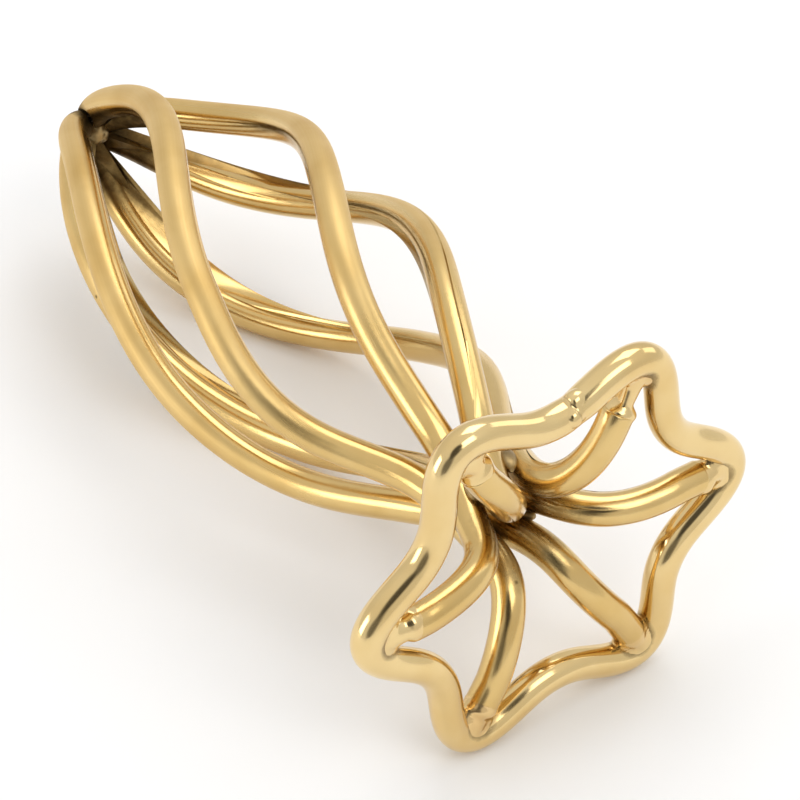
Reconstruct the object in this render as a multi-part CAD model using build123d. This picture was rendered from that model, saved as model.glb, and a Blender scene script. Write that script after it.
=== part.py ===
from build123d import *
import os
import numpy as np
from math import acos, pi, radians, tan

# Twisted wire basket with a six-pointed star end, made of soldered round wire.  Units: mm.
# Each wire is placed by its distance from the star plane, its distance from the long axis and
# its turn about that axis.  The finished object lies on two star points and the basket.

# ---- wire ----
WIRE_RADIUS = 1.5            # every rib and the star ring: 3 mm round wire
RUNS_PER_RIB = 26            # straight runs joined by tangent arcs along one rib
RUNS_PER_POINT = 8           # the same for one sixth of the star ring

# ---- ribs: stations from the closed tip to the star ----
LENGTH = 75.9                # tip to star plane, along the axis
STATION_DISTANCE = [LENGTH, 74.1, 67.2, 54.1, 38.0, 24.0, 13.8, 7.3, 1.9, 0.0]
STATION_RADIUS = [0.1, 3.2, 7.7, 12.5, 13.8, 9.8, 4.65, 3.67, 6.4, 13.3]
STATION_TURN = [-161, -154.5, -152, -132, -100, -81.5, -62.5, -14, -1, 0.7]
RIB_ANGLE = [150, 90, 30, -30, -90, -150]       # star point of each rib, 0 is straight up
RIB_BOW = [0.4, 0.1, -0.2, 1.8, -0.3, -0.8]     # hand bending: out from the axis, mid basket
RIB_SWING = [-2.4, -5.3, 3.4, 5.6, 2.6, -2.0]   # hand bending: round the axis, degrees
SHOULDER_BOW = [-1.5, -2.5, -0.1, 0.4, 0.0, 0.3]        # the same two bends where the
SHOULDER_SWING = [19.5, 2.4, 6.9, 6.0, 8.5, 6.8]        # basket narrows to the neck
BASKET = (0.0, 0.76)         # shares of the rib that the first two bends reach
SHOULDER = (0.5, 0.82)       # shares that the shoulder's bends reach
RIB_END_RADIUS = [15.8, 14.8, 15.4, 14.0, 15.8, 16.4]

# ---- star ring ----
STAR_RADIUS = 16.37          # mean, to the middle of the wire
STAR_WAVE = 2.27
STAR_POINT = 0.27            # second wave, which sharpens the points
RING_SEAM_ANGLE = -8         # where the ring's two ends meet, between ribs 3 and 4
RING_SEAM_GAP = 0.4

# ---- solder ----
MITRE_GAP = 0.02             # between the cut rib ends in the tip
TIP_SOLDER_RADIUS = 1.35
NECK_SOLDER_DISTANCE = 8.2   # from the star plane
NECK_SOLDER_LENGTH = 3.0
NECK_SOLDER_RADIUS = 0.75
STAR_SOLDER_RADIUS = 1.3
STAR_SOLDER_REACH = 18.4     # its far end, inside the ring's wire
SEAM_SOLDER_RADIUS = 1.62

REST_TILT = 3.85             # the axis rises towards the star when the object lies down


def spline(knots, values, at):
    """Natural cubic spline through the stations."""
    x, y, at = np.array(knots), np.array(values, float), np.asarray(at, float)
    h = np.diff(x)
    lhs, rhs = np.eye(len(x)), np.zeros(len(x))
    for i in range(1, len(x) - 1):
        lhs[i, i - 1:i + 2] = h[i - 1], 2 * (h[i - 1] + h[i]), h[i]
        rhs[i] = 6 * ((y[i + 1] - y[i]) / h[i] - (y[i] - y[i - 1]) / h[i - 1])
    m = np.linalg.solve(lhs, rhs)
    i = np.clip(np.searchsorted(x, at) - 1, 0, len(x) - 2)
    a, b = x[i + 1] - at, at - x[i]
    return ((m[i] * a ** 3 + m[i + 1] * b ** 3) / (6 * h[i])
            + (y[i] / h[i] - m[i] * h[i] / 6) * a + (y[i + 1] / h[i] - m[i + 1] * h[i] / 6) * b)


def place(distance, radius, angle):
    """Point before the rest tilt: +X from tip to star, angle 0 up, 90 towards -Y."""
    a = np.radians(angle)
    return np.stack([-distance + 0 * a, -radius * np.sin(a), radius * np.cos(a)], axis=-1)


def swell(share, start, end):
    """Rises from 0 to 1 and falls to 0 again between two shares of a rib."""
    inside = (share > start) & (share < end)
    return np.where(inside, np.sin(pi * (share - start) / (end - start)) ** 2, 0)


def rib_line(rib, share):
    """Middle of a rib's wire at shares 0 (tip) to 1 (star) of its length."""
    knots = [acos(min(1.0, max(-1.0, 2 * d / LENGTH - 1))) / pi for d in STATION_DISTANCE]
    share = np.asarray(share, float)
    middle, narrow = swell(share, *BASKET), swell(share, *SHOULDER)
    bow = RIB_BOW[rib] * middle + SHOULDER_BOW[rib] * narrow
    swing = RIB_SWING[rib] * middle + SHOULDER_SWING[rib] * narrow
    radius = spline(knots, STATION_RADIUS, share) + bow
    turn = spline(knots, STATION_TURN, share) + swing
    return place(LENGTH * (1 + np.cos(pi * share)) / 2, radius, RIB_ANGLE[rib] + turn)


def star_line(angle):
    """Middle of the ring's wire; a star point at 30 degrees and every 60 from it."""
    wave = 6 * np.radians(np.asarray(angle, float) - 30)
    radius = STAR_RADIUS + STAR_WAVE * np.cos(wave) + STAR_POINT * np.cos(2 * wave)
    return place(0 * wave, radius, angle)


def even(points, runs):
    """The same line in runs of equal length."""
    step = np.linalg.norm(np.diff(points, axis=0), axis=1)
    along = np.concatenate([[0], np.cumsum(step)])
    at = np.linspace(0, along[-1], runs + 1)
    return np.stack([np.interp(at, along, points[:, k]) for k in range(3)], axis=1)


def corners(points):
    """Corner points whose tangent arcs pass through the given points."""
    out = points.copy()
    out[1:-1] += (points[1:-1] - (points[:-2] + points[2:]) / 2) / 3
    return out


def bent_wire(points, radius=WIRE_RADIUS):
    """Round wire along straight runs joined by tangent arcs."""
    points = corners(points)
    runs = np.diff(points, axis=0)
    size = np.linalg.norm(runs, axis=1)
    radii = []
    for i in range(len(runs) - 1):
        turn = np.arccos(np.clip(runs[i] @ runs[i + 1] / size[i] / size[i + 1], -1, 1))
        radii.append(0.49 * min(size[i], size[i + 1]) / tan(max(turn, 0.002) / 2))
    path = FilletPolyline(*[Vector(*p) for p in points], radius=radii)
    start = Plane(origin=path @ 0, z_dir=path % 0)
    return sweep(start * Circle(radius), path=path)


def toward(point, other):
    """Unit direction from one point to another."""
    step = np.asarray(other) - np.asarray(point)
    return Vector(*(step / np.linalg.norm(step)))


def outward(angle):
    """Direction away from the axis."""
    return Vector(*place(0, 1, angle))


def tip_cutter(angle):
    """Everything in the tip except one rib's sixth: its end is mitred to meet the others."""
    sixth = Polyline((0, 0), (12, 12 * tan(radians(30))), (12, -12 * tan(radians(30))), close=True)
    side = outward(angle)
    plane = Plane(origin=Vector(-LENGTH - 4, 0, 0) + side * 2 * MITRE_GAP, x_dir=side, z_dir=(1, 0, 0))
    round_bar = Plane(origin=(-LENGTH - 4, 0, 0), z_dir=(1, 0, 0)) * Cylinder(
        3.4, 9, align=(Align.CENTER, Align.CENTER, Align.MIN))
    return round_bar - extrude(plane * make_face(sixth), 12)


def end_cutter(rib):
    """Everything beyond a rib's cut end at its star point."""
    side = outward(RIB_ANGLE[rib])
    plane = Plane(origin=side * RIB_END_RADIUS[rib], z_dir=side)
    return plane * Box(8, 8, 8, align=(Align.CENTER, Align.CENTER, Align.MIN))


def make_rib(rib):
    line = rib_line(rib, np.linspace(0, 1, 400))
    tip_angle = RIB_ANGLE[rib] + STATION_TURN[0]
    line[0] = place(LENGTH, -1.4, tip_angle)
    line = np.vstack([line, place(0, 17.6, RIB_ANGLE[rib])])
    wire = bent_wire(even(line, RUNS_PER_RIB))
    return wire - tip_cutter(tip_angle) - end_cutter(rib)


def make_ring():
    half_gap = np.degrees(RING_SEAM_GAP / 2 / 15.3)
    angles = np.linspace(RING_SEAM_ANGLE + half_gap, RING_SEAM_ANGLE + 360 - half_gap, 1500)
    return bent_wire(even(star_line(angles), 6 * RUNS_PER_POINT))


def make_seam_solder(ring):
    ends = star_line([RING_SEAM_ANGLE - 2, RING_SEAM_ANGLE, RING_SEAM_ANGLE + 2])
    plane = Plane(origin=Vector(*ends[1]), z_dir=toward(ends[0], ends[2]))
    return plane * Cylinder(SEAM_SOLDER_RADIUS, 1.6 * RING_SEAM_GAP) - ring


def make_star_solder(rib, ring):
    side = outward(RIB_ANGLE[rib])
    plane = Plane(origin=side * RIB_END_RADIUS[rib], z_dir=side)
    blob = plane * Cylinder(STAR_SOLDER_RADIUS, STAR_SOLDER_REACH - RIB_END_RADIUS[rib],
                            align=(Align.CENTER, Align.CENTER, Align.MIN))
    return blob - ring


def make_neck_solder(rib, wires):
    """Fillet of solder in the groove between a rib and the next one."""
    share = acos(2 * NECK_SOLDER_DISTANCE / LENGTH - 1) / pi
    near = [rib_line(k, [share - 0.01, share, share + 0.01]) for k in (rib, (rib + 1) % 6)]
    middle = (near[0] + near[1]) / 2
    lift = Vector(0, *middle[1][1:]).normalized() * 0.8
    plane = Plane(origin=Vector(*middle[1]) + lift, z_dir=toward(middle[0], middle[2]))
    bead = plane * Cylinder(NECK_SOLDER_RADIUS, NECK_SOLDER_LENGTH)
    return bead - wires[rib] - wires[(rib + 1) % 6]


def make_tip_solder(wires):
    """Bead that fills the inside of the closed tip."""
    bead = Pos(-LENGTH + 1.2, 0, 0) * Sphere(TIP_SOLDER_RADIUS)
    for wire in wires:
        bead -= wire
    return bead


def build():
    wires = [make_rib(k) for k in range(6)]
    ring = make_ring()
    parts = {f"rib_{k + 1}": wires[k] for k in range(6)}
    parts["star_ring"] = ring
    parts["ring_seam_solder"] = make_seam_solder(ring)
    parts["tip_solder"] = make_tip_solder(wires)
    for k in range(6):
        parts[f"star_solder_{k + 1}"] = make_star_solder(k, ring)
        parts[f"neck_solder_{k + 1}"] = make_neck_solder(k, wires)
    return parts


def lay_down(parts):
    """Tilt to the rest pose, then put the origin at the bottom middle of the whole box."""
    tilted = {name: Rot(0, -REST_TILT, 0) * part for name, part in parts.items()}
    box = Compound(children=[Compound(p.solids()) for p in tilted.values()]).bounding_box()
    move = Vector(-(box.min.X + box.max.X) / 2, -(box.min.Y + box.max.Y) / 2, -box.min.Z)
    print("move after the tilt:", [round(v, 3) for v in move])
    print("size:", [round(v, 2) for v in box.size])
    return {name: Location(move) * part for name, part in tilted.items()}


os.makedirs("parts", exist_ok=True)
for name, part in lay_down(build()).items():
    solids = part.solids()
    print(name, len(solids), "solid", round(sum(s.volume for s in solids), 2), "mm3")
    export_step(Compound(solids) if len(solids) > 1 else solids[0], f"parts/{name}.step")
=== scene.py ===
import bpy
import numpy as np
from mathutils import Matrix, Vector


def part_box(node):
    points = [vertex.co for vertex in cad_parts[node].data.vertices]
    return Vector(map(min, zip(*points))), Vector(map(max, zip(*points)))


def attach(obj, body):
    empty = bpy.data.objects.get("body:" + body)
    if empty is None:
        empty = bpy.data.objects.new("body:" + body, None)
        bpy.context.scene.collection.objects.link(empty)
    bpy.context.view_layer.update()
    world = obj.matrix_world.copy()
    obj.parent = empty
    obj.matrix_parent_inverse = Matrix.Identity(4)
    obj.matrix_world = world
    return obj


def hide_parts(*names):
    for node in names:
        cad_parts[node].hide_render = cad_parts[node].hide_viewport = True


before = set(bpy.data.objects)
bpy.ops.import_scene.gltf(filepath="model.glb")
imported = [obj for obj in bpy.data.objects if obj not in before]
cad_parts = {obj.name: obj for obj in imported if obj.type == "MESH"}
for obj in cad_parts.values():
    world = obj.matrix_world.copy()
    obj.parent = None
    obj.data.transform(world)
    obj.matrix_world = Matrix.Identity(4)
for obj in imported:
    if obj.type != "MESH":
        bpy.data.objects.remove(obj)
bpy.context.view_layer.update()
print("stage 1: frame loaded,", len(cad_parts), "nodes")

# the wires' lines, in metres and degrees, with the same bends as the part's

wire = {
    "radius": 0.0015,
    "around": 56,            # points round the wire
    "sampleEvery": 6,        # line steps between the points that distances are measured to
    "restTilt": 3.85,        # the long axis rises towards the star
}

basket = {
    "length": 0.0759,        # closed tip to star plane
    "distance": [0.0759, 0.0741, 0.0672, 0.0541, 0.0380, 0.0240, 0.0138, 0.0073, 0.0019, 0.0],
    "radius": [0.0001, 0.0032, 0.0077, 0.0125, 0.0138, 0.0098, 0.00465, 0.00367, 0.0064, 0.0133],
    "turn": [-161, -154.5, -152, -132, -100, -81.5, -62.5, -14, -1, 0.7],
    "ribAngle": [150, 90, 30, -30, -90, -150],     # star point of each rib, 0 is straight up
    "bow": [0.0004, 0.0001, -0.0002, 0.0018, -0.0003, -0.0008],
    "swing": [-2.4, -5.3, 3.4, 5.6, 2.6, -2.0],
    "shoulderBow": [-0.0015, -0.0025, -0.0001, 0.0004, 0.0, 0.0003],
    "shoulderSwing": [19.5, 2.4, 6.9, 6.0, 8.5, 6.8],
    "basketShares": (0.0, 0.76),
    "shoulderShares": (0.5, 0.82),
    "endRadius": [0.0158, 0.0148, 0.0154, 0.0140, 0.0158, 0.0164],
    "pastAxis": -0.0014,     # a rib's line runs on past the axis, then the mitre trims it
    "pastEnd": 0.0176,
    "mitreGap": 0.00001,
    "lineSteps": 900,
    "rings": 430,            # rings of points along one rib
    "smooth": 15,            # line steps over which hand bending evens out
    "endRounding": 0.00012,
    "touch": (0.0001, 0.0017),       # painted shade fades out over this gap to the next wire
    "shadeFromTip": (0.011, 0.004),   # where painted shade inside the tip fades in
    "sootFromAxis": (0.0095, 0.004),
    "rootFromStar": (0.0085, 0.0050),    # the same for painted shade in the neck
    "rootFromAxis": (0.0066, 0.0038),
    "brushedFromStar": (0.015, 0.038),   # the satin stretch starts past the neck
}

star = {
    "radius": 0.01637,       # mean, to the middle of the wire
    "wave": 0.00227,
    "point": 0.00027,
    "rings": 620,
    "seamAngle": -8,
    "pinch": 0.06,           # share by which the wire draws in beside its seam
    "pinchLength": 0.0009,
    "touch": (0.0002, 0.0010),
    "satin": 0.25,
}

lowCorner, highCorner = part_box("star_ring")
starCentre = np.array((lowCorner + highCorner) / 2)
tilt = np.radians(wire["restTilt"])
phi = 2 * np.pi * np.arange(wire["around"]) / wire["around"]


def layDown(points):
    # turns the upright axis frame about Y by the rest tilt and moves it to the star's centre
    x, y, z = points[..., 0], points[..., 1], points[..., 2]
    turned = np.stack([x * np.cos(tilt) - z * np.sin(tilt), y, x * np.sin(tilt) + z * np.cos(tilt)], -1)
    return turned + starCentre


def outward(angle):
    # unit direction away from the long axis: angle 0 up, 90 towards -Y
    a = np.radians(angle)
    return np.stack([0 * a, -np.sin(a), np.cos(a)], -1)


def place(distance, radius, angle):
    # distance from the star plane, distance from the axis, turn about the axis
    points = outward(angle) * np.asarray(radius)[..., None]
    points[..., 0] -= distance
    return points


def spline(knots, values, at):
    # natural cubic spline: second derivatives from the tridiagonal system, zero at both ends
    x, y, at = np.array(knots), np.array(values, float), np.asarray(at, float)
    h = np.diff(x)
    lhs, rhs = np.eye(len(x)), np.zeros(len(x))
    for i in range(1, len(x) - 1):
        lhs[i, i - 1:i + 2] = h[i - 1], 2 * (h[i - 1] + h[i]), h[i]
        rhs[i] = 6 * ((y[i + 1] - y[i]) / h[i] - (y[i] - y[i - 1]) / h[i - 1])
    m = np.linalg.solve(lhs, rhs)
    i = np.clip(np.searchsorted(x, at) - 1, 0, len(x) - 2)
    a, b = x[i + 1] - at, at - x[i]
    return ((m[i] * a ** 3 + m[i + 1] * b ** 3) / (6 * h[i])
            + (y[i] / h[i] - m[i] * h[i] / 6) * a + (y[i + 1] / h[i] - m[i + 1] * h[i] / 6) * b)


def unit(vectors):
    return vectors / np.linalg.norm(vectors, axis=-1, keepdims=True)


def swell(share, start, end):
    # sine squared between two shares, nothing outside them
    inside = (share > start) & (share < end)
    return np.where(inside, np.sin(np.pi * (share - start) / (end - start)) ** 2, 0)


def evenly(columns, points, steps):
    # the same line at equal lengths
    along = np.concatenate([[0], np.cumsum(np.linalg.norm(np.diff(points, axis=0), axis=1))])
    at = np.linspace(0, along[-1], steps)
    return [np.interp(at, along, column) for column in columns], along[-1]


def softened(columns, width):
    # Hann-weighted running mean, with the ends carried on in a straight line
    weights = np.hanning(width + 2)[1:-1]
    weights /= weights.sum()
    padded = [np.pad(column, width // 2, mode="reflect", reflect_type="odd") for column in columns]
    return [np.convolve(column, weights, "valid") for column in padded]


def ribLine(rib):
    # middle line of one rib with its outward direction: the radius and the turn are splines of
    # the share of the rib, and the outward direction stands square on the surface of revolution
    knots = np.arccos(np.clip(2 * np.array(basket["distance"]) / basket["length"] - 1, -1, 1)) / np.pi
    share = np.linspace(0, 1, 401)[1:]
    middle, narrow = swell(share, *basket["basketShares"]), swell(share, *basket["shoulderShares"])
    radius = spline(knots, basket["radius"], share)
    radius += basket["bow"][rib] * middle + basket["shoulderBow"][rib] * narrow
    turn = spline(knots, basket["turn"], share)
    turn += basket["swing"][rib] * middle + basket["shoulderSwing"][rib] * narrow
    distance = basket["length"] * (1 + np.cos(np.pi * share)) / 2
    distance = np.concatenate([[basket["length"]], distance, [0]])
    radius = np.concatenate([[basket["pastAxis"]], radius, [basket["pastEnd"]]])
    angle = basket["ribAngle"][rib] + np.concatenate([[basket["turn"][0]], turn, [0]])
    columns, size = evenly([distance, radius, angle], place(distance, radius, angle), basket["lineSteps"])
    distance, radius, angle = softened(columns, basket["smooth"])
    line = place(distance, radius, angle)
    slope = unit(np.stack([-np.gradient(distance), np.gradient(radius)], -1))
    normal = outward(angle) * slope[:, :1]
    normal[:, 0] = -slope[:, 1]
    return line, normal, size


def starLine(angle):
    # mean radius with a wave of six points and half as long a wave that sharpens them
    wave = 6 * np.radians(np.asarray(angle, float) - 30)
    radius = star["radius"] + star["wave"] * np.cos(wave) + star["point"] * np.cos(2 * wave)
    return place(0 * wave, radius, angle)


def sectionAxes(line, normal, closed=False):
    # the normal made square to the line's tangent, and their cross product, the side
    if closed:
        tangent = unit(np.roll(line, -1, axis=0) - np.roll(line, 1, axis=0))
    else:
        tangent = unit(np.gradient(line, axis=0))
    normal = unit(normal - (normal * tangent).sum(-1, keepdims=True) * tangent)
    return normal, np.cross(tangent, normal)


def roundWire(normal, side):
    # directions round a wire: cosine of phi times the normal plus sine of phi times the side
    return np.cos(phi)[:, None] * normal + np.sin(phi)[:, None] * side


def loadMesh(name, vertices, loops, starts, uvs):
    mesh = bpy.data.meshes.new(name)
    mesh.vertices.add(len(vertices))
    mesh.vertices.foreach_set("co", vertices.reshape(-1))
    mesh.loops.add(len(loops))
    mesh.loops.foreach_set("vertex_index", loops.astype(np.int32))
    mesh.polygons.add(len(starts))
    mesh.polygons.foreach_set("loop_start", starts.astype(np.int32))
    mesh.update(calc_edges=True)
    mesh.validate()
    mesh.uv_layers.new(name="wireUV").data.foreach_set("uv", uvs.reshape(-1))
    return mesh


def makePiece(name, points, uv, material, layers, capStart=None, capEnd=None, closedRows=False):
    # closed tube from rows of points round it; a cap is a list of further rings and ends in a
    # fan about the last ring's middle, so an empty list is a flat end and None leaves it open
    rows, columns = points.shape[:2]
    stack = [points.reshape(-1, 3)]
    values = {key: [layer.reshape(-1)] for key, layer in layers.items()}
    j = np.arange(columns)
    following = (j + 1) % columns
    rowStarts = np.arange(rows if closedRows else rows - 1) * columns
    nextStarts = (rowStarts + columns) % (rows * columns)
    quads = [np.stack([(rowStarts[:, None] + j), (rowStarts[:, None] + following),
                       (nextStarts[:, None] + following), (nextStarts[:, None] + j)], -1).reshape(-1, 4)]
    uStart = j / columns
    uEnd = (j + 1) / columns
    vStart, vEnd = uv[:-1], uv[1:]
    if closedRows:
        vStart, vEnd = uv, np.append(uv[1:], 2 * uv[-1] - uv[-2])
    grid = np.ones((len(rowStarts), columns))
    corners = [np.stack([np.stack([grid * uStart, grid * vStart[:, None]], -1),
                         np.stack([grid * uEnd, grid * vStart[:, None]], -1),
                         np.stack([grid * uEnd, grid * vEnd[:, None]], -1),
                         np.stack([grid * uStart, grid * vEnd[:, None]], -1)], 2).reshape(-1, 2)]
    total = rows * columns
    triangles, triangleUv = [], []
    for cap, row, forward in ((capStart, 0, False), (capEnd, rows - 1, True)):
        if cap is None:
            continue
        previous = row * columns + j
        edgeUv = np.stack([uStart, np.full(columns, uv[row])], -1)
        for ring in cap:
            stack.append(ring)
            for key in values:
                values[key].append(layers[key][row])
            current = total + j
            total += columns
            a, b = (previous, current) if forward else (current, previous)
            quads.append(np.stack([a, a[following], b[following], b], -1))
            corners.append(np.repeat(edgeUv, 4, axis=0))
            previous = current
        stack.append(stack[-1].mean(0, keepdims=True) if cap else points[row].mean(0, keepdims=True))
        for key in values:
            values[key].append(layers[key][row].mean(keepdims=True))
        middle = np.full(columns, total)
        total += 1
        fan = [previous, previous[following], middle] if forward else [previous[following], previous, middle]
        triangles.append(np.stack(fan, -1))
        triangleUv.append(np.repeat(edgeUv, 3, axis=0))
    quads = np.concatenate(quads)
    loops, starts = quads.reshape(-1), np.arange(len(quads)) * 4
    uvs = np.concatenate(corners)
    if triangles:
        triangles = np.concatenate(triangles)
        starts = np.concatenate([starts, len(loops) + np.arange(len(triangles)) * 3])
        loops = np.concatenate([loops, triangles.reshape(-1)])
        uvs = np.concatenate([uvs] + triangleUv)
    mesh = loadMesh(name, layDown(np.concatenate(stack)), loops, starts, uvs)
    for key, parts in values.items():
        attribute = mesh.attributes.new(key, "FLOAT", "POINT")
        attribute.data.foreach_set("value", np.concatenate(parts).astype(np.float32))
    mesh.shade_smooth()
    mesh.set_sharp_from_angle(angle=np.radians(38))
    mesh.materials.append(material)
    piece = bpy.data.objects.new(name, mesh)
    bpy.context.scene.collection.objects.link(piece)
    return piece


def roundedCap(ring, axis, depth):
    # rings that draw in as they rise, which rounds the edge of a cut end: width, rise
    steps = ((0.985, 0.45), (0.95, 0.8), (0.89, 1.0), (0.6, 1.0), (0.3, 1.0))
    middle = ring.mean(0)
    return [middle + (ring - middle) * share + axis * depth * rise for share, rise in steps]


def nearest(points, others):
    # distance from each point to the nearest of other points, from the expanded square
    square = (points ** 2).sum(-1)[:, None] + (others ** 2).sum(-1)[None] - 2 * points @ others.T
    return np.sqrt(np.maximum(square.min(1), 0))


def smoothStep(value, low, high):
    t = np.clip((value - low) / (high - low), 0, 1)
    return t * t * (3 - 2 * t)


# finishes

brass = {
    "bright": (0.83, 0.625, 0.305),  # fresh polished metal
    "warm": (0.77, 0.55, 0.24),      # handled metal, a little redder
    "brushed": (0.75, 0.535, 0.225), # the ribs' duller satin
    "brushedWarm": (0.68, 0.46, 0.17),
    "darkening": (0.10, 0.062, 0.022), # painted shade where two wires meet and in hollows; the specks take this colour too
    "solderWarm": (0.74, 0.50, 0.22),
    "cloudScale": 170.0,             # noise scales on Object coordinates in metres
    "raggedScale": 900.0,
    "speckScale": 420.0,
    "lumpScale": 800.0,
    "speckShare": 0.14,              # how many of the speck cells hold one
    "bumpDistance": 0.00002,
}


def groupSockets(group, inputs, outputs):
    for name, kind, value in inputs:
        socket = group.interface.new_socket(name=name, in_out="INPUT", socket_type=kind)
        socket.default_value = value
    for name, kind in outputs:
        group.interface.new_socket(name=name, in_out="OUTPUT", socket_type=kind)
    return group.nodes.new("NodeGroupInput"), group.nodes.new("NodeGroupOutput")


def addNode(tree, kind, links=None, **settings):
    # one node, its settings, and what feeds its sockets: another node's output or a plain value
    node = tree.nodes.new(kind)
    for key, value in settings.items():
        setattr(node, key, value)
    for socket, source in (links or {}).items():
        if isinstance(source, bpy.types.NodeSocket):
            tree.links.new(source, node.inputs[socket])
        else:
            node.inputs[socket].default_value = source
    return node


def ramp(tree, factor, stops):
    node = addNode(tree, "ShaderNodeValToRGB", {"Fac": factor})
    elements = node.color_ramp.elements
    while len(elements) < len(stops):
        elements.new(0.5)
    for element, (position, colour) in zip(elements, stops):
        element.position = position
        element.color = colour if len(colour) == 4 else (*colour, 1)
    return node.outputs["Color"]


def grey(value):
    return (value, value, value, 1)


def makeScratches():
    # fine lines along the wire: noise on the wire's own UV, drawn out lengthwise
    group = bpy.data.node_groups.new("lengthwiseScratches", "ShaderNodeTree")
    start, end = groupSockets(group, [("Across", "NodeSocketFloat", 60.0), ("Along", "NodeSocketFloat", 1.5)],
                              [("Height", "NodeSocketFloat"), ("Worn", "NodeSocketFloat")])
    uv = addNode(group, "ShaderNodeUVMap", uv_map="wireUV")
    split = addNode(group, "ShaderNodeSeparateXYZ", {0: uv.outputs["UV"]})
    turn = addNode(group, "ShaderNodeMath", {0: split.outputs["X"], 1: 2 * np.pi}, operation="MULTIPLY")
    sine = addNode(group, "ShaderNodeMath", {0: turn.outputs[0]}, operation="SINE")
    cosine = addNode(group, "ShaderNodeMath", {0: turn.outputs[0]}, operation="COSINE")
    across = [addNode(group, "ShaderNodeMath", {0: wave.outputs[0], 1: start.outputs["Across"]},
                      operation="MULTIPLY") for wave in (sine, cosine)]
    along = addNode(group, "ShaderNodeMath", {0: split.outputs["Y"], 1: start.outputs["Along"]},
                    operation="MULTIPLY")
    place = addNode(group, "ShaderNodeCombineXYZ", {"X": across[0].outputs[0], "Y": across[1].outputs[0],
                                                    "Z": along.outputs[0]})
    fine = addNode(group, "ShaderNodeTexNoise", {"Vector": place.outputs[0], "Scale": 1.0, "Detail": 4.0,
                                                 "Roughness": 0.7})
    broad = addNode(group, "ShaderNodeTexNoise", {"Vector": place.outputs[0], "Scale": 0.16, "Detail": 2.0})
    worn = addNode(group, "ShaderNodeMapRange", {"Value": broad.outputs["Fac"], "From Min": 0.42,
                                                 "From Max": 0.62})
    group.links.new(fine.outputs["Fac"], end.inputs["Height"])
    group.links.new(worn.outputs["Result"], end.inputs["Worn"])
    return group


def makePatinaAndShade():
    # uneven colour: soft clouds of warmer metal, dark painted shade where wires meet and in hollows, small
    # dark specks
    group = bpy.data.node_groups.new("brassPatinaAndShade", "ShaderNodeTree")
    start, end = groupSockets(group, [("Bright", "NodeSocketColor", (*brass["bright"], 1)),
                                      ("Warm", "NodeSocketColor", (*brass["warm"], 1)),
                                      ("ShadeAndSpecks", "NodeSocketColor", (*brass["darkening"], 1)),
                                      ("Specks", "NodeSocketFloat", 0.5)],
                              [("Colour", "NodeSocketColor"), ("Dull", "NodeSocketFloat")])
    where = addNode(group, "ShaderNodeTexCoord").outputs["Object"]
    clouds = addNode(group, "ShaderNodeTexNoise", {"Vector": where, "Scale": brass["cloudScale"],
                                                    "Detail": 3.0})
    cloudMask = addNode(group, "ShaderNodeMapRange", {"Value": clouds.outputs["Fac"], "From Min": 0.38,
                                                      "From Max": 0.68})
    base = addNode(group, "ShaderNodeMix", {"Factor": cloudMask.outputs["Result"], 6: start.outputs["Bright"],
                                            7: start.outputs["Warm"]}, data_type="RGBA")
    # painted shade: the colour darkens towards the dark colour where the attribute marks wires meeting and
    # hollows, with a ragged edge
    paintedShade = addNode(group, "ShaderNodeAttribute", attribute_name="paintedShade").outputs["Fac"]
    ragged = addNode(group, "ShaderNodeTexNoise", {"Vector": where, "Scale": brass["raggedScale"],
                                                   "Detail": 5.0, "Roughness": 0.65})
    edge = addNode(group, "ShaderNodeMath", {0: ragged.outputs["Fac"], 1: -0.5}, operation="ADD")
    push = addNode(group, "ShaderNodeMath", {0: edge.outputs[0], 1: 0.6, 2: paintedShade},
                   operation="MULTIPLY_ADD")
    dark = addNode(group, "ShaderNodeMapRange", {"Value": push.outputs[0], "From Min": 0.30,
                                                 "From Max": 1.05})
    shaded = addNode(group, "ShaderNodeMix", {"Factor": dark.outputs["Result"], 6: base.outputs[2],
                                               7: start.outputs["ShadeAndSpecks"]}, data_type="RGBA")
    pits = addNode(group, "ShaderNodeTexVoronoi", {"Vector": where, "Scale": brass["speckScale"]})
    pit = addNode(group, "ShaderNodeMapRange", {"Value": pits.outputs["Distance"], "From Min": 0.10,
                                                "From Max": 0.03})
    rare = addNode(group, "ShaderNodeMath", {0: pits.outputs["Color"], 1: 1 - brass["speckShare"]},
                   operation="GREATER_THAN")
    speck = addNode(group, "ShaderNodeMath", {0: pit.outputs["Result"], 1: rare.outputs[0]},
                    operation="MULTIPLY")
    speckMask = addNode(group, "ShaderNodeMath", {0: speck.outputs[0], 1: start.outputs["Specks"]},
                        operation="MULTIPLY")
    colour = addNode(group, "ShaderNodeMix", {"Factor": speckMask.outputs[0], 6: shaded.outputs[2],
                                              7: start.outputs["ShadeAndSpecks"]}, data_type="RGBA")
    dull = addNode(group, "ShaderNodeMath", {0: dark.outputs["Result"], 1: speckMask.outputs[0]},
                   operation="MAXIMUM")
    group.links.new(colour.outputs[2], end.inputs["Colour"])
    group.links.new(dull.outputs[0], end.inputs["Dull"])
    return group


scratches, patinaAndShade = makeScratches(), makePatinaAndShade()


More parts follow.
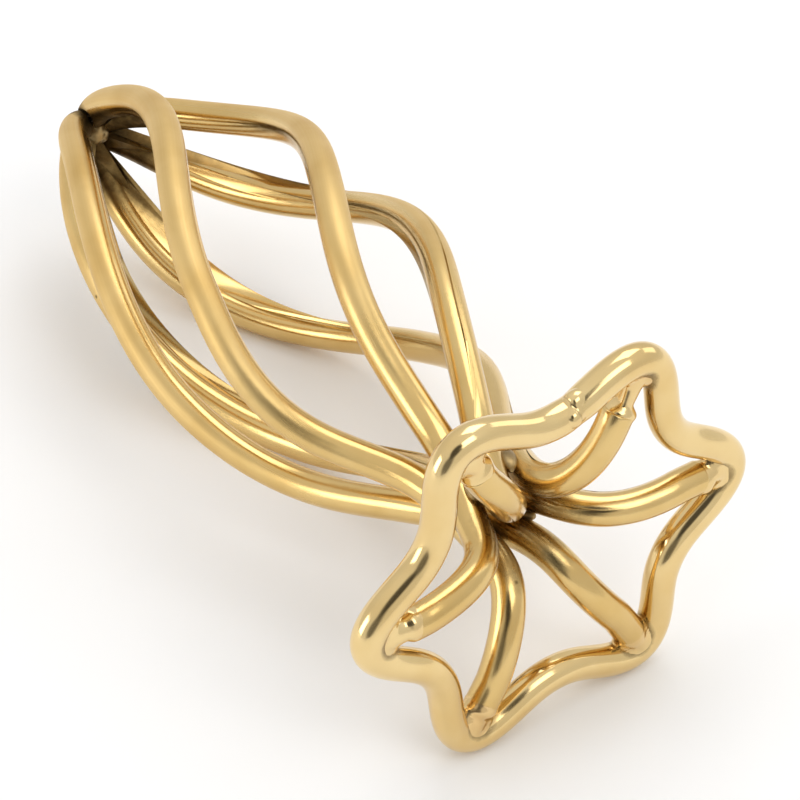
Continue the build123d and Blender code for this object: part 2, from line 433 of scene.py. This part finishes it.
def brassFinish(name, polished, satin, scratchBump, specks, bright=None, warm=None, lumps=0.0):
    # roughness goes from polished to satin by the "satin" attribute, and rises with the painted shade and the
    # specks
    material = bpy.data.materials.new(name)
    material.use_nodes = True
    tree = material.node_tree
    tree.nodes.clear()
    shader = addNode(tree, "ShaderNodeBsdfPrincipled", {"Metallic": 1.0})
    addNode(tree, "ShaderNodeOutputMaterial", {"Surface": shader.outputs[0]})
    lines = addNode(tree, "ShaderNodeGroup", node_tree=scratches)
    colours = tree.nodes.new("ShaderNodeGroup")
    colours.node_tree = patinaAndShade
    colours.inputs["Specks"].default_value = specks
    colours.inputs["Bright"].default_value = (*(bright or brass["bright"]), 1)
    colours.inputs["Warm"].default_value = (*(warm or brass["warm"]), 1)
    tree.links.new(colours.outputs["Colour"], shader.inputs["Base Color"])
    matt = addNode(tree, "ShaderNodeAttribute", attribute_name="satin").outputs["Fac"]
    base = addNode(tree, "ShaderNodeMapRange", {"Value": matt, "To Min": polished, "To Max": satin})
    worn = addNode(tree, "ShaderNodeMath", {0: lines.outputs["Worn"], 1: 0.06, 2: base.outputs["Result"]},
                   operation="MULTIPLY_ADD")
    rough = addNode(tree, "ShaderNodeMath", {0: colours.outputs["Dull"], 1: 0.35, 2: worn.outputs[0]},
                    operation="MULTIPLY_ADD", use_clamp=True)
    tree.links.new(rough.outputs[0], shader.inputs["Roughness"])
    strength = addNode(tree, "ShaderNodeMapRange", {"Value": matt, "To Min": 0.35, "To Max": 1.0})
    height = addNode(tree, "ShaderNodeMath", {0: lines.outputs["Height"], 1: strength.outputs["Result"]},
                     operation="MULTIPLY")
    if lumps:
        where = addNode(tree, "ShaderNodeTexCoord").outputs["Object"]
        bumps = addNode(tree, "ShaderNodeTexNoise", {"Vector": where, "Scale": brass["lumpScale"],
                                                        "Detail": 2.0})
        height = addNode(tree, "ShaderNodeMath", {0: bumps.outputs["Fac"], 1: lumps, 2: height.outputs[0]},
                         operation="MULTIPLY_ADD")
    bump = addNode(tree, "ShaderNodeBump", {"Strength": scratchBump, "Distance": brass["bumpDistance"],
                                            "Height": height.outputs[0]})
    tree.links.new(bump.outputs["Normal"], shader.inputs["Normal"])
    return material


ribBrass = brassFinish("ribBrass", polished=0.12, satin=0.48, scratchBump=0.6, specks=0.7,
                       bright=brass["brushed"], warm=brass["brushedWarm"])
ringBrass = brassFinish("ringBrass", polished=0.08, satin=0.14, scratchBump=0.12, specks=0.35)
solderBrass = brassFinish("solderBrass", polished=0.10, satin=0.2, scratchBump=0.3, specks=0.6,
                          warm=brass["solderWarm"], lumps=0.8)
print("stage 2: finishes made")

# the ribs

ribLines = [ribLine(rib) for rib in range(6)]
ribSamples = [line[::wire["sampleEvery"]] for line, normal, size in ribLines]


def paintedShadeOf(points, own):
    # painted shade: 1 where another rib touches, 0 where the gap to it is wide
    others = np.concatenate([s for k, s in enumerate(ribSamples) if k != own])
    gap = nearest(points.reshape(-1, 3), others).reshape(points.shape[:2]) - wire["radius"]
    return 1 - smoothStep(gap, *basket["touch"])


def makeRib(rib):
    # tube about the rib's line; every lengthwise edge starts on the mitre planes in the tip and
    # stops on the plane of the cut end
    line, normal, size = ribLines[rib]
    normal, side = sectionAxes(line, normal)
    dense = line[:, None] + wire["radius"] * roundWire(normal[:, None], side[:, None])
    tipAngle = basket["ribAngle"][rib] + basket["turn"][0]
    alongTip = dense @ outward(tipAngle)
    acrossTip = dense @ outward(tipAngle + 90)
    inWedge = alongTip * np.tan(np.radians(30)) - np.abs(acrossTip) - basket["mitreGap"]
    quarter = len(line) // 4
    late = quarter - 1 - np.argmax(inWedge[:quarter][::-1] < 0, axis=0)
    j = np.arange(wire["around"])
    before, after = inWedge[late, j], inWedge[late + 1, j]
    startAt = late + before / (before - after)
    beyond = basket["endRadius"][rib] - dense @ outward(basket["ribAngle"][rib])
    tail = len(line) - quarter
    first = tail + np.argmax(beyond[tail:] < 0, axis=0)
    before, after = beyond[first - 1, j], beyond[first, j]
    endAt = first - 1 + before / (before - after)
    endAt = endAt - basket["endRounding"] / (size / basket["lineSteps"])
    share = np.linspace(0, 1, basket["rings"])[:, None]
    at = startAt + (endAt - startAt) * share
    steps = np.arange(len(line))
    lineAt, normalAt, sideAt = (np.stack([np.interp(at, steps, field[:, k]) for k in range(3)], -1)
                                for field in (line, normal, side))
    points = lineAt + wire["radius"] * unit(roundWire(normalAt, sideAt))
    facing = np.cos(phi)[None] + 0 * at
    fromStar, fromAxis = -points[..., 0], np.linalg.norm(points[..., 1:], axis=-1)
    # painted shade inside the tip on the inward faces and in the neck, joined to the painted shade where ribs
    # touch
    soot = smoothStep(basket["length"] - fromStar, *basket["shadeFromTip"]) * smoothStep(-facing, -0.35, 0.5)
    soot = soot * smoothStep(fromAxis, *basket["sootFromAxis"])
    root = smoothStep(fromStar, *basket["rootFromStar"]) * smoothStep(fromAxis, *basket["rootFromAxis"])
    paintedShade = np.maximum(np.maximum(0.9 * paintedShadeOf(points, rib), soot), 0.6 * root)
    satin = smoothStep(facing, -0.25, 0.45) * smoothStep(fromStar, *basket["brushedFromStar"])
    uv = share[:, 0] * size / (2 * np.pi * wire["radius"])
    cap = roundedCap(points[-1], outward(basket["ribAngle"][rib]), basket["endRounding"])
    piece = makePiece(f"ribWire{rib + 1}", points, uv, ribBrass, {"paintedShade": paintedShade, "satin": satin},
                      capStart=[], capEnd=cap)
    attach(piece, "root")
    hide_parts(f"rib_{rib + 1}")


for rib in range(6):
    makeRib(rib)
print("stage 3: six ribs")

# the star ring and its seam


def makeRing():
    # closed tube along the star line, drawn in a little on both sides of the seam
    angle = np.linspace(0, 360, star["rings"] * 4 + 1)
    line = starLine(angle)
    (angle,), size = evenly([angle], line, star["rings"] + 1)
    angle = angle[:-1]
    line = starLine(angle)
    normal, side = sectionAxes(line, outward(angle), closed=True)
    fromSeam = np.radians((angle - star["seamAngle"] + 180) % 360 - 180) * star["radius"]
    pinch = 1 - star["pinch"] * np.exp(-(fromSeam / star["pinchLength"]) ** 2)
    ring = roundWire(normal[:, None], side[:, None])
    points = line[:, None] + wire["radius"] * pinch[:, None, None] * ring
    toRibs = nearest(points.reshape(-1, 3), np.concatenate(ribSamples)).reshape(points.shape[:2])
    # painted shade on the ring where a rib comes close
    paintedShade = 0.75 * (1 - smoothStep(toRibs - wire["radius"], *star["touch"]))
    layers = {"paintedShade": paintedShade, "satin": np.full(points.shape[:2], star["satin"])}
    uv = np.arange(len(line)) * size / len(line) / (2 * np.pi * wire["radius"])
    piece = makePiece("starRing", points, uv, ringBrass, layers, closedRows=True)
    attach(piece, "root")
    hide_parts("star_ring")


makeRing()

seam = {
    "length": 0.0034,
    "fromAxis": 0.0147,      # the ring's radius there, which turns lengths into angles
    "sleeve": 0.00137,
    "beads": [               # along the wire, round it in radians, height, width
        {"along": 0.00055, "round": -1.25, "height": 0.00044, "width": 0.00078},
        {"along": -0.00040, "round": -0.15, "height": 0.00042, "width": 0.00084},
        {"along": -0.00010, "round": 2.40, "height": 0.00034, "width": 0.00090},
    ],
    "nick": {"along": 0.00012, "depth": 0.00005, "width": 0.00015},
    "rings": 90,
}


def makeSeam():
    # solder over the ring's joint: a sleeve just under the wire's surface with round beads that
    # rise from it, each a bell in its distance along and round the wire, and a thin nick between
    along = np.linspace(-0.5, 0.5, seam["rings"]) * seam["length"]
    angle = star["seamAngle"] + np.degrees(along / seam["fromAxis"])
    line = starLine(angle)
    normal, side = sectionAxes(line, outward(angle))
    ends = np.sqrt(np.clip(1 - (2 * along / seam["length"]) ** 8, 0.02, 1))
    radius = seam["sleeve"] * ends[:, None] + 0 * phi
    for bead in seam["beads"]:
        across = (phi - bead["round"] + np.pi) % (2 * np.pi) - np.pi
        away = ((along - bead["along"])[:, None] ** 2 + (across * seam["sleeve"]) ** 2) / bead["width"] ** 2
        radius = radius + bead["height"] * np.exp(-away ** 1.5)
    nick = np.exp(-((along - seam["nick"]["along"]) / seam["nick"]["width"]) ** 2)[:, None]
    radius = radius - seam["nick"]["depth"] * nick
    points = line[:, None] + radius[..., None] * roundWire(normal[:, None], side[:, None])
    # painted shade in the nick between the beads
    layers = {"paintedShade": 0.5 * nick + 0 * phi, "satin": 0.1 + 0 * nick + 0 * phi}
    piece = makePiece("ringSeam", points, along / (2 * np.pi * wire["radius"]), solderBrass, layers,
                      capStart=[], capEnd=[])
    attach(piece, "root")
    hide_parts("ring_seam_solder")


makeSeam()
print("stage 4: star ring")

# solder at the six star points: foot at the rib's cut end, head in the ring's hollow

starSolder = {
    "joints": [
        {"shoulder": 0.00155, "waist": 0.00126, "blend": 0.0010, "lump": 0.00010, "phase": 0.4},
        {"shoulder": 0.00155, "waist": 0.00122, "blend": 0.0011, "lump": 0.00007, "phase": 1.9},
        {"shoulder": 0.00154, "waist": 0.00120, "blend": 0.0010, "lump": 0.00008, "phase": 3.1},
        {"shoulder": 0.00147, "waist": 0.00088, "blend": 0.0010, "lump": 0.00010, "phase": 4.4},
        {"shoulder": 0.00153, "waist": 0.00130, "blend": 0.0009, "lump": 0.00009, "phase": 5.2},
        {"shoulder": 0.00153, "waist": 0.00142, "blend": 0.0006, "lump": 0.00003, "phase": 2.5},
    ],
    "rings": 80,
    "sink": 0.0008,          # how far the foot goes back over the rib
    "footDip": 0.00012,      # by which the foot draws in under the rib's surface
    "shoulderFall": 0.0009,  # length over which the shoulder draws in to the waist
    "top": 0.0184,           # distance of the head from the axis, inside the ring's wire
    "fade": (0.0166, 0.0183),    # where the head sinks back into the ring's wire
    "inset": 0.00005,
    "rays": (0.0003, 0.0019, 44),    # from, to and steps of the search out from the neck's middle
    "wireSearch": 22,        # degrees of the ring's wire, each way, that the neck can meet
    "soften": 7,             # rows and columns over which the blend evens out
}


def softUnion(first, second, blend):
    # the smaller of two distances, rounded off where they are nearly equal
    share = np.clip(0.5 + 0.5 * (second - first) / blend, 0, 1)
    return second * (1 - share) + first * share - blend * share * (1 - share)


def neckRadius(joint, cut, reach, rise):
    # the foot rises out of the rib to the shoulder, which draws in to the waist by a smooth step;
    # slow lumps go round and along the waist
    fall = smoothStep(reach, cut, cut + starSolder["shoulderFall"])
    neck = joint["waist"] + (joint["shoulder"] - joint["waist"]) * (1 - fall)
    neck = neck - starSolder["footDip"] * (1 - smoothStep(reach, reach[0], cut - 0.0001))
    phase = joint["phase"]
    lumps = np.sin(2 * phi + phase + 3 * rise) + 0.5 * np.sin(3 * phi - 2 * phase + 5 * rise)
    return neck + joint["lump"] * (lumps * fall + 0.6 * np.sin(phi + phase))


def firstCrossing(inside, rays):
    # where a field along each ray first goes above zero, by linear steps, or else the ray's end
    past = inside > 0
    k = np.where(past.any(-1), np.maximum(past.argmax(-1), 1), len(rays) - 1)[..., None]
    before, after = np.take_along_axis(inside, k - 1, -1), np.take_along_axis(inside, k, -1)
    rise = np.where(after == before, 1, after - before)
    share = np.where(after > before, np.clip(-before / rise, 0, 1), 1)
    return (rays[k - 1] + (rays[k] - rays[k - 1]) * share)[..., 0]


def evenedOut(radius, width):
    # Hann-weighted running mean round the columns, then along the rows
    half = width // 2
    weights = np.hanning(width + 2)[1:-1]
    weights /= weights.sum()
    radius = sum(w * np.roll(radius, step, axis=1) for w, step in zip(weights, range(-half, half + 1)))
    padded = np.pad(radius, ((half, half), (0, 0)), mode="edge")
    return sum(w * padded[step:step + len(radius)] for step, w in enumerate(weights))


def makeStarSolder(rib):
    # round neck from the cut end to the ring that flows into the ring's wire: on each ray out
    # from the neck's middle line the surface is where the rounded union of the neck and the
    # ring's wire ends
    joint, cut = starSolder["joints"][rib], basket["endRadius"][rib]
    rise = np.linspace(0, 1, starSolder["rings"])[:, None]
    low = cut - starSolder["sink"]
    reach = low + (starSolder["top"] - low) * rise
    neck = neckRadius(joint, cut, reach, rise)
    axis, across = outward(basket["ribAngle"][rib]), outward(basket["ribAngle"][rib] + 90)
    ring = roundWire(across, np.array([1.0, 0.0, 0.0]))
    rays = np.linspace(*starSolder["rays"])
    probe = reach[:, None, :, None] * axis + rays[:, None] * ring[:, None]
    search = np.linspace(-starSolder["wireSearch"], starSolder["wireSearch"], 67)
    wireNear = starLine(basket["ribAngle"][rib] + search)
    toWire = nearest(probe.reshape(-1, 3), wireNear).reshape(probe.shape[:-1]) - wire["radius"]
    fade = 1 - smoothStep(reach, *starSolder["fade"])[:, None]
    inside = softUnion(rays - neck[..., None], toWire, joint["blend"] * np.maximum(fade, 0.02))
    inside = inside + starSolder["inset"] * (1 - fade)
    radius = evenedOut(firstCrossing(inside, rays), starSolder["soften"])
    points = reach[..., None] * axis + radius[..., None] * ring
    # painted shade in a thin ring just past the rib's cut end, where the neck draws in
    paintedShade = 0.25 * np.exp(-((reach - cut - 0.0004) / 0.0002) ** 2) + 0 * radius
    layers = {"paintedShade": paintedShade, "satin": 0.2 + 0 * paintedShade}
    piece = makePiece(f"starSolder{rib + 1}", points, reach[:, 0] / (2 * np.pi * wire["radius"]), solderBrass,
                      layers, capStart=[], capEnd=[])
    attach(piece, "root")
    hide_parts(f"star_solder_{rib + 1}")


neckSolder = {
    "distance": 0.0082,      # from the star plane
    "length": 0.0030,
    "radius": 0.0007275,
    "lift": 0.0008,          # outwards from between the two wires
    "ripple": 0.06,
    # painted shade over the whole bead, deep in the neck; the same value sets its satin
    "darkening": 0.8,
    "rings": 30,
}


def makeNeckSolder(rib):
    # bead in the groove between a rib and the next: a spindle with a slow ripple
    pair = [ribLines[k][0] for k in (rib, (rib + 1) % 6)]
    along = np.linspace(-0.48, 0.48, neckSolder["rings"]) * neckSolder["length"]
    tracks = []
    for line in pair:
        late = line[len(line) // 2:]
        order = np.argsort(-late[:, 0])
        tracks.append(np.stack([np.interp(neckSolder["distance"] + along, -late[order, 0], late[order, k])
                                for k in range(3)], -1))
    line = (tracks[0] + tracks[1]) / 2
    away = line * np.array([0.0, 1.0, 1.0])
    line = line + unit(away) * neckSolder["lift"]
    normal, side = sectionAxes(line, unit(away))
    spindle = np.sqrt(np.clip(1 - (2 * along / neckSolder["length"]) ** 2, 0.01, 1))
    ripple = neckSolder["ripple"] * np.sin(3 * phi + rib)
    radius = neckSolder["radius"] * spindle[:, None] * (1 - ripple)[None]
    points = line[:, None] + radius[..., None] * roundWire(normal[:, None], side[:, None])
    # the bead's painted shade and its satin both take this one value
    layers = {key: np.full(points.shape[:2], neckSolder["darkening"]) for key in ("paintedShade", "satin")}
    piece = makePiece(f"neckSolder{rib + 1}", points, along / (2 * np.pi * wire["radius"]), solderBrass,
                      layers, capStart=[], capEnd=[])
    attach(piece, "root")
    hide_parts(f"neck_solder_{rib + 1}")


for rib in range(6):
    makeStarSolder(rib)
    makeNeckSolder(rib)

tipSolder = {
    "fromTip": 0.0012,
    "radius": 0.0012596,
    "ripple": 0.0532,
    "pole": 0.04,            # where the rings stop short of the ends, in radians
    "rings": 40,
}


def makeTipSolder():
    # lumpy bead inside the closed tip: a sphere with a shallow three-way ripple
    lift = np.linspace(tipSolder["pole"], np.pi - tipSolder["pole"], tipSolder["rings"])
    centre = np.array([-basket["length"] + tipSolder["fromTip"], 0.0, 0.0])
    ripple = tipSolder["ripple"] * np.sin(3 * phi)[None] * np.sin(2 * lift)[:, None]
    radius = tipSolder["radius"] * (1 + ripple)
    direction = np.stack([-np.cos(lift)[:, None] + 0 * phi, np.sin(lift)[:, None] * np.cos(phi)[None],
                          np.sin(lift)[:, None] * np.sin(phi)[None]], -1)
    points = centre + radius[..., None] * direction
    # painted shade over the whole bead inside the closed tip
    layers = {"paintedShade": np.full(points.shape[:2], 0.7), "satin": np.full(points.shape[:2], 0.5)}
    piece = makePiece("tipSolder", points, lift / (2 * np.pi), solderBrass, layers, capStart=[], capEnd=[])
    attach(piece, "root")
    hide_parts("tip_solder")


makeTipSolder()
print("stage 5: solder")

# floor, light and camera

studio = {
    "floorSize": 3.0,
    "floorColours": ((0.985, 0.985, 0.985), (0.995, 0.995, 0.995)),
    "softboxes": [
        {"name": "topBox", "at": (-0.16, 0.20, 0.53), "size": 0.34, "power": 0.64},
        {"name": "nearBox", "at": (-0.11, -0.47, 0.135), "size": 0.22, "power": 0.40},
        {"name": "farBox", "at": (0.01, 0.46, 0.28), "size": 0.24, "power": 0.16},
        {"name": "starBox", "at": (0.33, 0.03, 0.46), "size": 0.26, "power": 0.40},
    ],
    "sky": [(0.0, 0.83), (0.15, 0.75), (0.45, 0.78), (0.75, 0.86), (1.0, 0.88)],   # height, brightness
    "openings": [            # dark places in the tent: direction, half angles of core and rim, depth
        {"towards": (0.56, -0.43, 0.71), "core": 12.0, "rim": 24.0, "depth": 0.90},
        {"towards": (0.62, -0.72, 0.24), "core": 11.0, "rim": 25.0, "depth": 0.75},
    ],
    "eye": (0.202661, -0.132426, 0.237794),
    "aim": (0.009404, 0.003668, 0.012),
    "roll": 0.53,
    "lens": 162.46,
}


def makeFloor():
    # one flat grid with a slightly uneven matt surface
    count = 9
    side = np.linspace(-0.5, 0.5, count) * studio["floorSize"]
    x, y = np.meshgrid(side, side)
    vertices = np.stack([x, y, 0 * x], -1).reshape(-1, 3)
    start = (np.arange(count - 1)[:, None] * count + np.arange(count - 1)).reshape(-1)
    faces = np.stack([start, start + 1, start + count + 1, start + count], -1)
    mesh = bpy.data.meshes.new("floor")
    mesh.from_pydata(vertices.tolist(), [], faces.tolist())
    material = bpy.data.materials.new("paleFloor")
    material.use_nodes = True
    tree = material.node_tree
    shader = tree.nodes["Principled BSDF"]
    shader.inputs["Roughness"].default_value = 0.8
    where = addNode(tree, "ShaderNodeTexCoord").outputs["Object"]
    cloud = addNode(tree, "ShaderNodeTexNoise", {"Vector": where, "Scale": 6.0})
    colour = ramp(tree, cloud.outputs["Fac"], list(zip((0.3, 0.7), studio["floorColours"])))
    tree.links.new(colour, shader.inputs["Base Color"])
    mesh.materials.append(material)
    floor = bpy.data.objects.new("floor", mesh)
    bpy.context.scene.collection.objects.link(floor)


def aimed(at, towards, roll=0.0):
    # matrix of an object at one point that looks at another along its own -Z
    forward = (Vector(towards) - Vector(at)).normalized()
    turned = forward.to_track_quat("-Z", "Y").to_matrix().to_4x4()
    return Matrix.Translation(Vector(at)) @ turned @ Matrix.Rotation(np.radians(roll), 4, "Z")


def makeSoftbox(settings):
    light = bpy.data.lights.new(settings["name"], "AREA")
    light.shape = "SQUARE"
    light.size = settings["size"]
    light.energy = settings["power"]
    lamp = bpy.data.objects.new(settings["name"], light)
    bpy.context.scene.collection.objects.link(lamp)
    lamp.matrix_world = aimed(settings["at"], (0, 0, 0.015))


def makeSurround():
    # white tent whose brightness follows height, with dark openings: each dims the tent by the
    # angle from its own direction
    world = bpy.data.worlds.new("whiteTent")
    bpy.context.scene.world = world
    world.use_nodes = True
    tree = world.node_tree
    background = tree.nodes["Background"]
    direction = addNode(tree, "ShaderNodeTexCoord").outputs["Generated"]
    height = addNode(tree, "ShaderNodeSeparateXYZ", {0: direction}).outputs["Z"]
    sky = ramp(tree, height, [(level, grey(bright)) for level, bright in studio["sky"]])
    for opening in studio["openings"]:
        towards = Vector(opening["towards"]).normalized()
        near = addNode(tree, "ShaderNodeVectorMath", {0: direction, 1: towards}, operation="DOT_PRODUCT")
        dim = addNode(tree, "ShaderNodeMapRange", {"Value": near.outputs["Value"],
                                                   "From Min": np.cos(np.radians(opening["rim"])),
                                                   "From Max": np.cos(np.radians(opening["core"])),
                                                   "To Min": 1.0, "To Max": 1 - opening["depth"]},
                      interpolation_type="SMOOTHSTEP")
        shade = addNode(tree, "ShaderNodeVectorMath", {0: sky, "Scale": dim.outputs[0]}, operation="SCALE")
        sky = shade.outputs[0]
    tree.links.new(sky, background.inputs["Color"])
    background.inputs["Strength"].default_value = 1.0


def makeCamera():
    camera = bpy.data.cameras.new("camera")
    camera.lens = studio["lens"]
    camera.sensor_width = 36.0
    camera.clip_start = 0.01
    holder = bpy.data.objects.new("camera", camera)
    bpy.context.scene.collection.objects.link(holder)
    holder.matrix_world = aimed(studio["eye"], studio["aim"], studio["roll"])
    bpy.context.scene.camera = holder


makeFloor()
for settings in studio["softboxes"]:
    makeSoftbox(settings)
makeSurround()
makeCamera()
bpy.context.scene.view_settings.view_transform = "Standard"
print("stage 6: floor, light and camera")
